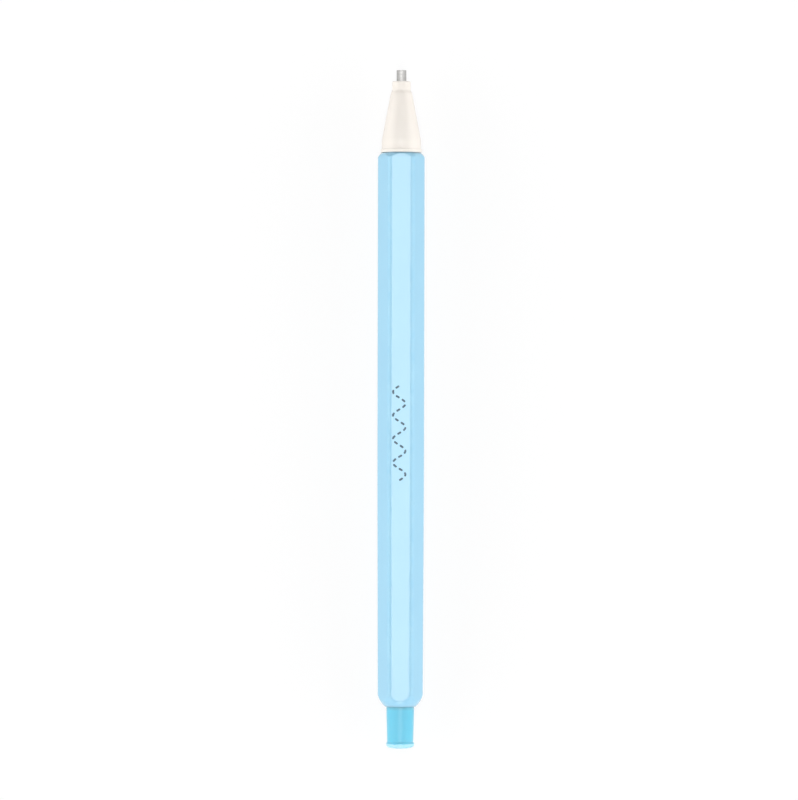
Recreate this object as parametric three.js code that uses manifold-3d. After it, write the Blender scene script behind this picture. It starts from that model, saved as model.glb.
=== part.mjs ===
// A click mechanical pencil for marking fabric. It feeds a thick 1.3 mm lead through a metal guide sleeve.
// The pencil lies on one flat of its six-sided barrel, with its tip towards +X and its middle over the origin.
// Pressing the button at the rear slides the lead tube and the chuck forward against the return spring.
// Sizes are in millimetres. Radial sizes run outwards from the lead, so each piece fits the one inside it.
import * as THREE from "three";
import { mergeVertices } from "three/addons/utils/BufferGeometryUtils.js";
import Module from "manifold-3d";

// Lead.
const leadDiameter = 1.3;
const leadLength = 60;
const leadEdge = 0.1;
const leadRecess = 0.1;
const leadRoom = 0.02;

// Guide sleeve, a metal tube with a collar at its rear end.
const sleevePlay = 0.075;
const sleeveWall = 0.3;
const sleeveProud = 2.36;
const sleeveSeated = 2.9;
const sleeveCollarRise = 0.35;
const sleeveCollarLength = 0.7;
const sleeveEdge = 0.12;

// Lead retainer, a rubber plug behind the sleeve.
const retainerWall = 1.0;
const retainerLength = 2.4;
const retainerFunnel = 0.6;

// Nose cone, from its front face to the flange that meets the barrel, and the threaded spigot behind it.
// Spigot and barrel are plain at the thread's full depth. The spigot wall is measured at the thread's root.
const noseWall = 0.9;
const noseLength = 1.9;
const noseEdge = 0.2;
const noseShoulderLength = 0.6;
const noseShoulderRise = 0.31;
const noseShoulderFillet = 0.25;
const noseTaperLength = 9.94;
const noseRimLength = 1.85;
const noseRimFillet = 0.6;
const noseRimStep = 0.21;
const noseFlangeLength = 0.78;
const noseFlangeInset = 0.11;
const noseFlangeEdge = 0.15;
const spigotLength = 7;
const spigotWall = 0.72;
const spigotReliefLength = 0.9;
const spigotChamfer = 0.35;
const threadDepth = 0.3;

// Chuck, a brass collet with three jaws, and the clutch ring that closes them.
const jawPlay = 0.05;
const jawCount = 3;
const jawOpening = 0.17;
const jawToothDepth = 0.09;
const jawToothPitch = 0.45;
const jawToothCount = 4;
const jawSlitWidth = 0.4;
const jawSlitLength = 12;
const chuckStemWall = 0.68;
const chuckHeadRise = 0.5;
const chuckHeadLand = 0.35;
const chuckHeadTaper = 3.2;
const chuckHeadroom = 0.4;
const chuckPressedLength = 4.5;
const chuckEdge = 0.12;
const ringPlay = 0.2;
const ringWall = 0.75;
const ringLength = 2.8;
const ringTravel = 1.0;
const ringEdge = 0.15;
const ringMouth = 0.25;

// Return spring. Its first and last turns lie closer together than the rest.
const springWire = 0.4;
const springPlay = 0.25;
const springChamberPlay = 0.2;
const springLength = 12;
const springCurls = 9;
const springEndPitch = 0.85;

// Mechanism housing, a plastic tube that holds the spring and stops the clutch ring.
const housingNoseWall = 0.55;
const housingWebLength = 2.6;
const housingFlangeLength = 1.2;
const housingEdge = 0.2;

// Coupling between the chuck and the lead tube.
const couplingGuideLength = 5;
const couplingFlangeLength = 1;
const couplingSpigotLength = 4;
const couplingFunnelWall = 0.3;
const couplingFunnelLength = 2.5;
const couplingHoleWall = 0.15;
const couplingEdge = 0.2;

// Lead tube and the push button pressed on its rear end.
const tubeWall = 0.35;
const buttonWall = 0.55;
const buttonInside = 10;
const buttonProud = 8.91;
const buttonSocketLength = 12;
const buttonSocketLead = 0.15;
const buttonCrown = 1.5;
const buttonStraight = 1.2;
const buttonWaist = 0.17;
const buttonLipRise = 0.2;
const buttonLipLength = 0.65;
const buttonLipRamp = 0.32;
const buttonLipFillet = 0.07;
const buttonLipRound = 0.15;
const buttonDomeRise = 0.56;
const buttonEdge = 0.3;

// Barrel, a six-sided shell that is straight at the front and tapers slightly over its rear half.
const barrelWall = 0.54;
const barrelLength = 116.65;
const barrelStraight = 63.6;
const barrelTaperDrop = 0.18;
const barrelCornerRadius = 1.2;
const barrelFrontInset = 0.09;
const barrelFrontRound = 1.6;
const barrelRearLip = 0.23;
const barrelShoulderLength = 2.63;
const barrelShoulderInset = 0.03;
const barrelShoulderBow = 0.32;
const barrelShoulderBowPlace = 1.53;
const barrelLandLength = 4.15;
const barrelBoreRelief = 0.1;
const barrelMouthChamfer = 0.12;

// Fits. Pressed pieces keep pressGap all round, and faces that seat on each other keep seatGap.
const clickTravel = 3.5;
const clickMargin = 0.8;
const pressGap = 0.02;
const seatGap = 0.05;
const threadGap = 0.05;
const stemPlay = 0.1;
const slidePlay = 0.07;
const housingPlay = 0.06;
const buttonPlay = 0.1;
const wedgeGap = 0.03;

// How finely round pieces are faceted.
const outerFacets = 40;
const innerFacets = 32;
const leadFacets = 20;
const envelopeFacets = 90;
const filletSteps = 2;
const curveSteps = 6;
const cornerFacets = 5;
const springSteps = 10;
const springSides = 6;
const cutOverrun = 1;

// Radii, from the lead outwards.
const leadRadius = leadDiameter / 2;
const sleeveBore = leadRadius + sleevePlay;
const sleeveRadius = sleeveBore + sleeveWall;
const sleeveCollarRadius = sleeveRadius + sleeveCollarRise;
const jawBore = leadRadius + jawPlay;
const retainerRadius = jawBore + retainerWall;
const noseRadius = sleeveRadius + pressGap + noseWall;
const stemRadius = jawBore + chuckStemWall;
const headRadius = stemRadius + chuckHeadRise;
const ringBore = stemRadius + ringPlay;
const ringRadius = ringBore + ringWall;
const springInnerRadius = stemRadius + springPlay;
const springCoilRadius = springInnerRadius + springWire / 2;
const chamberRadius = springInnerRadius + springWire + springChamberPlay;
const housingNoseRadius = chamberRadius + housingNoseWall;
const spigotBore = housingNoseRadius + housingPlay;
const spigotRadius = spigotBore + spigotWall;
const seatBore = spigotRadius + threadGap;
const threadRadius = spigotRadius + threadDepth;
const threadBore = threadRadius + threadGap;
const flatDistance = threadBore + barrelWall;
const flangeRadius = flatDistance - noseFlangeInset;
const rimRadius = flangeRadius - noseRimStep;
const couplingRadius = chamberRadius - stemPlay;
const tubeBore = 3 * leadRadius + 2 * leadRoom;
const tubeRadius = tubeBore + tubeWall;
const buttonSocket = tubeRadius + pressGap;
const buttonRadius = buttonSocket + buttonWall;
const rearHole = buttonRadius + buttonPlay;
const mainBore = rearHole + barrelBoreRelief;

// Places along the axis, forward of the barrel's front face, with every moving piece at rest.
const taperFront = noseFlangeLength + noseRimLength + noseTaperLength;
const noseFace = taperFront + noseShoulderLength + noseLength;
const sleeveTip = noseFace + sleeveProud;
const collarFront = noseFace - sleeveSeated;
const retainerFront = collarFront - sleeveCollarLength - seatGap;
const retainerRear = retainerFront - retainerLength;
const chuckFront = retainerRear - chuckHeadroom - clickTravel;
const wedgeDepth = (chuckHeadTaper * (chuckHeadRise - ringPlay + wedgeGap)) / chuckHeadRise;
const ringFront = chuckFront - chuckHeadLand - wedgeDepth;
const ringRear = ringFront - ringLength;
const ringStop = ringFront + ringTravel + seatGap;
const housingFront = ringRear - seatGap;
const webRear = housingFront - housingWebLength;
const flangeFront = -spigotLength - seatGap;
const flangeRear = flangeFront - housingFlangeLength;
const barrelStep = flangeRear - seatGap;
const couplingFront = webRear - springLength - 2 * seatGap;
const housingRear = couplingFront - couplingGuideLength;
const couplingFlangeFront = housingRear - clickTravel - clickMargin;
const couplingFlangeRear = couplingFlangeFront - couplingFlangeLength;
const tubeFront = couplingFlangeRear - seatGap;
const buttonFront = -barrelLength + buttonInside;
const tubeRear = buttonFront - buttonSocketLength;
const buttonEnd = -barrelLength - buttonProud;
const middle = (sleeveTip + buttonEnd) / 2;

const wasm = await Module();
wasm.setup();

// Outline points are [x, radius] or [x, radius, fillet]. A fillet swaps the corner for a short curve.
function filleted(outline) {
  return outline.flatMap(([x, r, fillet], i) => {
    if (!fillet) return [new THREE.Vector2(x, r)];
    const corner = new THREE.Vector2(x, r);
    const [before, after] = [outline.at(i - 1), outline[(i + 1) % outline.length]].map(([nx, nr]) =>
      new THREE.Vector2(nx, nr).sub(corner).normalize().multiplyScalar(fillet).add(corner),
    );
    return new THREE.QuadraticBezierCurve(before, corner, after).getPoints(filletSteps);
  });
}

// A solid turned about X. An outline that starts off the axis is a ring, and closes on itself.
function turned(outline, facets = innerFacets) {
  const points = filleted(outline);
  if (points[0].y > 0) points.push(points[0].clone());
  const area = points.reduce((sum, p, i) => sum + p.cross(points[(i + 1) % points.length]), 0);
  if (area > 0) points.reverse();
  const lathe = new THREE.LatheGeometry(points.map((p) => new THREE.Vector2(p.y, p.x)), facets);
  return lathe.rotateZ(-Math.PI / 2);
}

// A closed geometry as a solid that can be cut, and a cut solid as a geometry again.
function solidOf(geometry) {
  const bare = geometry.clone();
  bare.deleteAttribute("normal");
  bare.deleteAttribute("uv");
  const merged = mergeVertices(bare, 1e-4);
  return new wasm.Manifold(
    new wasm.Mesh({
      numProp: 3,
      vertProperties: merged.attributes.position.array,
      triVerts: new Uint32Array(merged.index.array),
    }),
  );
}

function geometryOf(solid) {
  const mesh = solid.getMesh();
  const geometry = new THREE.BufferGeometry();
  geometry.setAttribute("position", new THREE.BufferAttribute(mesh.vertProperties, 3));
  geometry.setIndex(new THREE.BufferAttribute(mesh.triVerts, 1));
  geometry.computeVertexNormals();
  return geometry;
}

// A closed skin through rings of points that all have the same count, capped flat at both ends.
function skinned(rings) {
  const count = rings[0].length;
  const points = rings.flat();
  const centres = [rings[0], rings.at(-1)].map((ring) =>
    ring.reduce((sum, p) => sum.add(p), new THREE.Vector3()).divideScalar(count),
  );
  const index = [];
  for (let i = 0; i < rings.length - 1; i++)
    for (let j = 0; j < count; j++) {
      const [a, b] = [i * count + j, i * count + ((j + 1) % count)];
      index.push(a, b, a + count, b, b + count, a + count);
    }
  const last = (rings.length - 1) * count;
  for (let j = 0; j < count; j++) {
    const next = (j + 1) % count;
    index.push(points.length, next, j, points.length + 1, last + j, last + next);
  }
  const geometry = new THREE.BufferGeometry().setFromPoints([...points, ...centres]);
  geometry.setIndex(index);
  geometry.computeVertexNormals();
  return geometry;
}

// How far the flats stand from the axis at x, and how far the rounded corners do.
function flatAt(x) {
  const share = Math.max(0, (-x - barrelStraight) / (barrelLength - barrelStraight));
  return flatDistance - barrelTaperDrop * share;
}

function cornerAt(x) {
  return (flatAt(x) - barrelCornerRadius) / Math.cos(Math.PI / 6) + barrelCornerRadius;
}

// The barrel's section at x: a hexagon with a flat below and above, and rounded corners.
function barrelSection(x) {
  const centreDistance = cornerAt(x) - barrelCornerRadius;
  const ring = [];
  for (let side = 0; side < 6; side++)
    for (let step = 0; step <= cornerFacets; step++) {
      const corner = (side * Math.PI) / 3;
      const turn = corner + (step / cornerFacets - 0.5) * (Math.PI / 3);
      ring.push(
        new THREE.Vector3(
          x,
          centreDistance * Math.cos(corner) + barrelCornerRadius * Math.cos(turn),
          centreDistance * Math.sin(corner) + barrelCornerRadius * Math.sin(turn),
        ),
      );
    }
  return ring;
}

// Points on the quarter ellipse that rounds the barrel's front end, from its face to its full width.
function frontRound() {
  const faceRadius = flatDistance - barrelFrontInset;
  const reach = cornerAt(0) + barrelFrontInset - faceRadius;
  return Array.from({ length: curveSteps + 1 }, (_, step) => {
    const turn = (step / curveSteps) * (Math.PI / 2);
    return [-barrelFrontRound * (1 - Math.cos(turn)), faceRadius + reach * Math.sin(turn)];
  });
}

// Points on the bowed shoulder at the barrel's rear end, from its full width to its face.
function rearShoulder() {
  const start = barrelShoulderLength - barrelLength;
  const startRadius = cornerAt(start) + barrelShoulderInset;
  const curve = new THREE.QuadraticBezierCurve(
    new THREE.Vector2(start, startRadius),
    new THREE.Vector2(start - barrelShoulderBowPlace, startRadius - barrelShoulderBow),
    new THREE.Vector2(-barrelLength, rearHole + barrelRearLip),
  );
  return curve.getPoints(curveSteps).map((p) => [p.x, p.y]);
}

// The barrel is a six-sided loft, trimmed by a turned envelope that rounds its ends, and then bored in steps.
// Its wall is thinnest round the thread.
function makeBarrel() {
  const prism = skinned([-barrelLength - cutOverrun, -barrelStraight, cutOverrun].map(barrelSection));
  const clear = cornerAt(0) + cutOverrun;
  const envelope = turned(
    [
      [0, 0],
      ...frontRound(),
      [-barrelFrontRound - cutOverrun, clear],
      [barrelShoulderLength - barrelLength + cutOverrun, clear],
      ...rearShoulder(),
      [-barrelLength, 0],
    ],
    envelopeFacets,
  );
  const bore = turned(
    [
      [cutOverrun, 0],
      [cutOverrun, threadBore + barrelMouthChamfer],
      [0, threadBore + barrelMouthChamfer],
      [-barrelMouthChamfer, threadBore],
      [flangeFront, threadBore],
      [flangeFront, seatBore],
      [barrelStep, seatBore],
      [barrelStep, mainBore],
      [-barrelLength + barrelLandLength + barrelBoreRelief, mainBore],
      [-barrelLength + barrelLandLength, rearHole],
      [-barrelLength - cutOverrun, rearHole],
      [-barrelLength - cutOverrun, 0],
    ],
    outerFacets,
  );
  return geometryOf(solidOf(prism).intersect(solidOf(envelope)).subtract(solidOf(bore)));
}

// The nose cone, from the barrel's front face. Its bores widen in steps towards the rear, as a moulding core needs.
function makeNoseCone() {
  const housingStop = housingFront + 3 * seatGap;
  return turned(
    [
      [noseFace, sleeveRadius + pressGap],
      [noseFace, noseRadius, noseEdge],
      [noseFace - noseLength, noseRadius, noseShoulderFillet],
      [taperFront, noseRadius + noseShoulderRise, noseShoulderFillet],
      [noseFlangeLength + noseRimLength, rimRadius, noseRimFillet],
      [noseFlangeLength, rimRadius],
      [noseFlangeLength, flangeRadius, noseFlangeEdge],
      [seatGap, flangeRadius, noseFlangeEdge],
      [seatGap, spigotRadius],
      [-spigotReliefLength, spigotRadius],
      [-spigotReliefLength - threadDepth, threadRadius],
      [spigotChamfer - spigotLength, threadRadius],
      [-spigotLength, threadRadius - spigotChamfer],
      [-spigotLength, spigotBore],
      [housingStop, spigotBore],
      [housingStop, ringRadius + slidePlay],
      [ringStop, ringRadius + slidePlay],
      [ringStop, headRadius + jawOpening],
      [retainerRear, headRadius + jawOpening],
      [retainerRear, retainerRadius + pressGap],
      [retainerFront + seatGap, retainerRadius + pressGap],
      [retainerFront + seatGap, sleeveCollarRadius + pressGap],
      [collarFront + seatGap, sleeveCollarRadius + pressGap],
      [collarFront + seatGap, sleeveRadius + pressGap],
    ],
    outerFacets,
  );
}

// The guide sleeve, from its rear face. The collar stops it in the cone.
function makeSleeve() {
  const length = sleeveTip - collarFront + sleeveCollarLength;
  return turned([
    [0, sleeveBore],
    [0, sleeveCollarRadius],
    [sleeveCollarLength, sleeveCollarRadius],
    [sleeveCollarLength, sleeveRadius],
    [length, sleeveRadius, sleeveEdge],
    [length, sleeveBore],
  ]);
}

// The rubber retainer, from its rear face. Its funnel leads a new lead into the hole that grips it.
function makeRetainer() {
  return turned([
    [0, jawBore + retainerFunnel],
    [0, retainerRadius],
    [retainerLength, retainerRadius],
    [retainerLength, jawBore],
    [retainerFunnel, jawBore],
  ]);
}

// The housing, from its front face: a nose in the cone, a flange small enough to pass the barrel's thread, which
// the cone clamps, and a tube round the spring.
function makeHousing() {
  const flange = [flangeFront - housingFront, flangeRear - housingFront];
  const length = housingFront - housingRear;
  return turned([
    [0, stemRadius + stemPlay],
    [0, housingNoseRadius, housingEdge],
    [flange[0], housingNoseRadius],
    [flange[0], seatBore - threadGap],
    [flange[1], seatBore - threadGap],
    [flange[1], mainBore - housingPlay],
    [-length, mainBore - housingPlay, housingEdge],
    [-length, chamberRadius],
    [-housingWebLength, chamberRadius],
    [-housingWebLength, stemRadius + stemPlay],
  ]);
}

// The clutch ring, from its rear face, with a flared mouth where the jaws wedge.
function makeClutchRing() {
  return turned([
    [0, ringBore],
    [0, ringRadius, ringEdge],
    [ringLength, ringRadius, ringEdge],
    [ringLength, ringBore + ringMouth * (chuckHeadRise / chuckHeadTaper)],
    [ringLength - ringMouth, ringBore],
  ]);
}

// The chuck, from its front face: a tapered head split into jaws, with teeth in the bore, on a long stem.
function makeChuck() {
  const length = chuckFront - couplingFront + chuckPressedLength;
  const teeth = [];
  for (let tooth = 1; tooth <= jawToothCount; tooth++) {
    const root = -tooth * jawToothPitch;
    teeth.push([root + jawToothPitch / 2, jawBore], [root, jawBore + jawToothDepth]);
  }
  const blank = turned([
    [0, jawBore],
    ...teeth,
    [-(jawToothCount + 0.5) * jawToothPitch, jawBore],
    [-length, jawBore],
    [-length, stemRadius - chuckEdge],
    [-length + chuckEdge, stemRadius],
    [-chuckHeadLand - chuckHeadTaper, stemRadius],
    [-chuckHeadLand, headRadius],
    [0, headRadius, chuckEdge],
  ]);
  let chuck = solidOf(blank);
  for (let jaw = 0; jaw < jawCount; jaw++) {
    const reach = headRadius + cutOverrun;
    const slit = new THREE.BoxGeometry(jawSlitLength + cutOverrun, reach, jawSlitWidth);
    slit.translate((cutOverrun - jawSlitLength) / 2, reach / 2, 0);
    slit.rotateX(Math.PI / 2 + (jaw * 2 * Math.PI) / jawCount);
    chuck = chuck.subtract(solidOf(slit));
  }
  return geometryOf(chuck);
}

// The spring wire's middle line, back from the front end of the spring.
function springLine() {
  const run = springLength - springWire;
  const middlePitch = (run - 2 * springEndPitch) / (springCurls - 2);
  const line = [];
  let x = -springWire / 2;
  for (let step = 0; step <= springCurls * springSteps; step++) {
    const curl = step / springSteps;
    const turn = curl * 2 * Math.PI;
    line.push(new THREE.Vector3(x, springCoilRadius * Math.cos(turn), springCoilRadius * Math.sin(turn)));
    const closed = curl < 1 || curl >= springCurls - 1;
    x -= (closed ? springEndPitch : middlePitch) / springSteps;
  }
  return line;
}

// The least gap between one turn of the spring and the turns beside it.
function springGap(line) {
  const gaps = line.flatMap((p, i) =>
    line.slice(i + springSteps / 2).map((q) => p.distanceTo(q) - springWire),
  );
  return Math.min(...gaps);
}

// The return spring, one wire of springSides sides carried along that line.
function makeSpring() {
  const line = springLine();
  console.log(`return_spring: least gap between turns ${springGap(line).toFixed(2)} mm`);
  const rings = line.map((centre) => {
    const out = new THREE.Vector3(0, centre.y, centre.z).normalize();
    return Array.from({ length: springSides }, (_, side) => {
      const angle = (side / springSides) * 2 * Math.PI;
      const point = centre.clone().addScaledVector(out, (springWire / 2) * Math.cos(angle));
      point.x -= (springWire / 2) * Math.sin(angle);
      return point;
    });
  });
  return skinned(rings);
}

// The coupling, from its front face: the chuck is pressed in its front, and the lead tube goes over its rear.
function makeCoupling() {
  const flange = [couplingFlangeFront - couplingFront, couplingFlangeRear - couplingFront];
  const end = flange[1] - couplingSpigotLength;
  const hole = jawBore + couplingHoleWall;
  const spigot = tubeBore - pressGap;
  return turned([
    [0, stemRadius + pressGap],
    [0, couplingRadius, couplingEdge],
    [flange[0], couplingRadius],
    [flange[0], tubeRadius],
    [flange[1], tubeRadius],
    [flange[1], spigot],
    [end, spigot, couplingEdge],
    [end, spigot - couplingFunnelWall],
    [end + couplingFunnelLength, hole],
    [-chuckPressedLength - seatGap, hole],
    [-chuckPressedLength - seatGap, stemRadius + pressGap],
  ]);
}

// The lead tube, from its front end.
function makeLeadTube() {
  const length = tubeFront - tubeRear;
  return turned([
    [0, tubeBore],
    [0, tubeRadius],
    [-length, tubeRadius],
    [-length, tubeBore],
  ]);
}

// The push button, from the barrel's rear face: a sleeve over the tube, a waist, a small lip and a domed end.
function makeButton() {
  const domeFront = buttonDomeRise - buttonProud;
  const lipFront = domeFront + buttonLipLength;
  const waistRadius = buttonRadius - buttonWaist;
  const lipRadius = waistRadius + buttonLipRise;
  const domeRadius = lipRadius - buttonLipRound;
  const dome = Array.from({ length: curveSteps + 1 }, (_, step) => {
    const turn = (step / curveSteps) * (Math.PI / 2);
    return [domeFront - buttonDomeRise * Math.cos(turn), domeRadius * Math.sin(turn)];
  });
  const seat = tubeRear + barrelLength - seatGap;
  return turned(
    [
      ...dome,
      [domeFront + buttonLipRound, lipRadius],
      [lipFront - buttonLipFillet, lipRadius, buttonLipFillet],
      [lipFront + buttonLipRamp, waistRadius, buttonLipFillet],
      [-buttonStraight, buttonRadius],
      [buttonInside, buttonRadius, buttonEdge],
      [buttonInside, buttonSocket + buttonSocketLead],
      [buttonInside - buttonSocketLead, buttonSocket],
      [seat, buttonSocket],
      [seat, tubeBore],
      [buttonCrown - buttonProud, tubeBore, buttonEdge],
      [buttonCrown - buttonProud, 0],
    ],
    outerFacets,
  );
}

// A lead, from its front end.
function makeLead() {
  return turned(
    [
      [0, 0],
      [0, leadRadius - leadEdge],
      [-leadEdge, leadRadius],
      [leadEdge - leadLength, leadRadius],
      [-leadLength, leadRadius - leadEdge],
      [-leadLength, 0],
    ],
    leadFacets,
  );
}

// Finishes.
const finishes = {
  barrelBlue: { color: 0xb5e2f7, roughness: 0.42 },
  noseCream: { color: 0xefe9e0, roughness: 0.45 },
  buttonBlue: { color: 0x86d5f2, roughness: 0.35 },
  sleeveSteel: { color: 0xb9b9b6, roughness: 0.35, metalness: 0.9 },
  brass: { color: 0xc9a24c, roughness: 0.35, metalness: 1 },
  springSteel: { color: 0x9da1a4, roughness: 0.3, metalness: 1 },
  rubber: { color: 0x2f3032, roughness: 0.85 },
  housingWhite: { color: 0xe9e9e6, roughness: 0.5 },
  couplingGrey: { color: 0xb4b8ba, roughness: 0.5 },
  tubeClear: { color: 0xe4ecef, roughness: 0.3 },
  lead: { color: 0xd9d8d4, roughness: 0.8 },
};

function piece(name, geometry, finish, x) {
  const mesh = new THREE.Mesh(geometry, new THREE.MeshStandardMaterial(finishes[finish]));
  mesh.name = name;
  mesh.position.x = x;
  return mesh;
}

const shell = new THREE.Group();
shell.add(piece("barrel", makeBarrel(), "barrelBlue", 0));
shell.add(piece("mechanism_housing", makeHousing(), "housingWhite", housingFront));
shell.add(piece("return_spring", makeSpring(), "springSteel", webRear - seatGap));

const nose = new THREE.Group();
nose.add(piece("nose_cone", makeNoseCone(), "noseCream", 0));
nose.add(piece("lead_sleeve", makeSleeve(), "sleeveSteel", collarFront - sleeveCollarLength));
nose.add(piece("lead_retainer", makeRetainer(), "rubber", retainerRear));

const plunger = new THREE.Group();
plunger.add(piece("chuck", makeChuck(), "brass", chuckFront));
plunger.add(piece("tube_coupling", makeCoupling(), "couplingGrey", couplingFront));
plunger.add(piece("lead_tube", makeLeadTube(), "tubeClear", tubeFront));
plunger.add(piece("push_button", makeButton(), "buttonBlue", -barrelLength));

// Two spare leads lie side by side on the floor of the tube, just clear of the lead in use.
const spareRadius = tubeBore - leadRadius - leadRoom;
const spareTurn = Math.asin((leadRadius + leadRoom) / spareRadius);
const spareFront = couplingFlangeRear - couplingSpigotLength - clickMargin;
[-1, 1].forEach((side, i) => {
  const spare = piece(`spare_lead_${i + 1}`, makeLead(), "lead", spareFront);
  spare.position.y = side * spareRadius * Math.sin(spareTurn);
  spare.position.z = -spareRadius * Math.cos(spareTurn);
  plunger.add(spare);
});

const pencil = new THREE.Group();
pencil.add(shell, nose, plunger);
pencil.add(piece("clutch_ring", makeClutchRing(), "brass", ringRear));
pencil.add(piece("working_lead", makeLead(), "lead", sleeveTip - leadRecess));
pencil.position.set(-middle, 0, flatDistance);

const part = new THREE.Group();
part.add(pencil);

export default part;
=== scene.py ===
"""A click mechanical pencil for marking fabric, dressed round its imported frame.

Each piece is worked out in millimetres from its own front face and the pencil's axis, and made in metres in
the row's frame: the tip points along +X, and the pencil rests on one flat of its barrel at z = 0.
"""

import bmesh
import bpy
import numpy as np
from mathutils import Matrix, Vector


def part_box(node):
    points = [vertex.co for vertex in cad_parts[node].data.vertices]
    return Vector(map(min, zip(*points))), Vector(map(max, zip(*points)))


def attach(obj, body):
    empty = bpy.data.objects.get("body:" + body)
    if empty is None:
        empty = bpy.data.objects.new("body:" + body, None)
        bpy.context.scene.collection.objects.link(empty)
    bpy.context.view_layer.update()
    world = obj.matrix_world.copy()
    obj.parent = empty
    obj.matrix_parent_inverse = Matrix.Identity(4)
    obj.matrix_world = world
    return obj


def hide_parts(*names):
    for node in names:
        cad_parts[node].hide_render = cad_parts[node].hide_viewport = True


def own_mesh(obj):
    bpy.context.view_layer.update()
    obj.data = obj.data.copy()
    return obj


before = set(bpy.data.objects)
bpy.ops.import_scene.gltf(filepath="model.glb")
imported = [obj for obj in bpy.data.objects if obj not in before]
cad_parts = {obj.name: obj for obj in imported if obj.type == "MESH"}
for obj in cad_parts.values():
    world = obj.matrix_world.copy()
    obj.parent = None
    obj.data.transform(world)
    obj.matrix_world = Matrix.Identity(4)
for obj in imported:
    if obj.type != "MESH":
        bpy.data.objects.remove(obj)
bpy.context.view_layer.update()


# Leads: sticks of bound white chalk, 1.3 mm thick, with a chamfer at both ends. One runs through the jaws and
# the guide sleeve, and two spares lie loose in the lead tube.
LEAD_RADIUS = 0.65
LEAD_LENGTH = 60.0
LEAD_CHAMFER = 0.1
LEAD_EDGE = 0.04
LEAD_COLUMNS = 48
LEAD_WHITE = (0.72, 0.71, 0.68, 1)
LEAD_DUSTY = (0.84, 0.83, 0.81, 1)
SMALL_EDGE = 0.03
EDGE_STEPS = 6
AXIS_HEIGHT = sum(corner.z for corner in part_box("lead_tube")) / 2


def in_frame(points, node, across=(0, AXIS_HEIGHT)):
    """Points in millimetres from a node's front face and axis, as metres in the row's frame."""
    return np.asarray(points) * 0.001 + (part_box(node)[1].x, *across)


def softened(corners):
    """A profile of corners (x, radius, edge), each swapped for a quadratic curve: at s from 0 to 1 it is the
    corner plus (1 - s) squared times a step of edge back along one side, plus s squared times a step ahead
    along the other. An edge is at most 0.3 of its shorter side. One more point on each side, 1.5 edges off,
    keeps the flat beside it flat. Each point also gets its bend, 4 s (1 - s) times how sharp the corner is,
    from 0 where it is straight to 1 from a sixth of a turn on."""
    corners = np.array([(*corner, SMALL_EDGE)[:3] for corner in corners], float)
    point, edge = corners[:, :2], corners[:, 2] * (corners[:, 1] > 0)
    sides = [np.roll(point, shift, 0) - point for shift in (1, -1)]
    lengths = [np.maximum(np.linalg.norm(side, axis=1), 1e-9) for side in sides]
    edge = np.minimum(edge, 0.3 * np.minimum(*lengths))
    back, ahead = [side * (edge / length)[:, None] for side, length in zip(sides, lengths)]
    s = np.linspace(0, 1, EDGE_STEPS + 1)[:, None]
    curve = point[:, None] + (1 - s) ** 2 * back[:, None] + s**2 * ahead[:, None]
    beside = [(point + 1.5 * step)[:, None] for step in (back, ahead)]
    rows = np.concatenate([beside[0], curve, beside[1]], 1).reshape(-1, 2)
    sharp = np.clip(2 + 2 * np.sum(sides[0] * sides[1], 1) / lengths[0] / lengths[1], 0, 1)
    bend = np.outer(sharp, np.concatenate([[0], (4 * s * (1 - s))[:, 0], [0]])).ravel()
    new = np.linalg.norm(rows - np.roll(rows, 1, 0), axis=1) > 1e-6
    return rows[new], bend[new]


def spun(x, radius, turn):
    """Points about the axis: each at x, at the radius times the cosine of turn and at the radius times its
    sine."""
    return np.stack(np.broadcast_arrays(x, radius * np.cos(turn), radius * np.sin(turn)), -1)


def turned(corners, columns=96):
    """A softened profile spun about the axis in even columns, as a grid for sewn. A profile that starts off
    the axis closes on itself."""
    rows, bend = softened(corners)
    turn = np.linspace(0, 2 * np.pi, columns, endpoint=False)
    return spun(rows[:, :1], rows[:, 1:], turn), bend[:, None], corners[0][1] > 0, True


def sewn(name, grids, material, node, body):
    """One closed mesh from grids of points, and the piece that stands for a node. Each grid is its points,
    their bend, and whether its rows and its columns close on themselves. Points that lie together are made
    one."""
    places, faces, bends, start = [], [], [], 0
    for points, bend, close_rows, close_columns in grids:
        rows, columns = points.shape[:2]
        i, j = np.meshgrid(
            np.arange(rows if close_rows else rows - 1),
            np.arange(columns if close_columns else columns - 1),
            indexing="ij",
        )
        ahead, beside = (i + 1) % rows * columns, (j + 1) % columns
        quads = np.stack([i * columns + j, i * columns + beside, ahead + beside, ahead + j], -1)
        faces.append(quads.reshape(-1, 4) + start)
        places.append(points.reshape(-1, 3))
        bends.append(np.broadcast_to(bend, (rows, columns)).ravel())
        start += rows * columns
    mesh = bpy.data.meshes.new(name)
    mesh.from_pydata(np.concatenate(places), [], np.concatenate(faces))
    attribute = mesh.attributes.new("bend", "FLOAT", "POINT")
    attribute.data.foreach_set("value", np.concatenate(bends).astype(np.float32))
    form = bmesh.new()
    form.from_mesh(mesh)
    bmesh.ops.remove_doubles(form, verts=form.verts, dist=2e-7)
    bmesh.ops.recalc_face_normals(form, faces=form.faces)
    form.to_mesh(mesh)
    form.free()
    mesh.shade_smooth()
    mesh.materials.append(material)
    piece = bpy.data.objects.new(name, mesh)
    bpy.context.scene.collection.objects.link(piece)
    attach(piece, body)
    if node:
        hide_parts(node)
    return piece


def put(tree, kind, values=(), **settings):
    """Adds a node to a tree with these settings, and sets or links its inputs."""
    made = tree.nodes.new(kind)
    for setting, value in settings.items():
        setattr(made, setting, value)
    for key, value in dict(values).items():
        if isinstance(value, bpy.types.NodeSocket):
            tree.links.new(value, made.inputs[key])
        else:
            made.inputs[key].default_value = value
    return made


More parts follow.
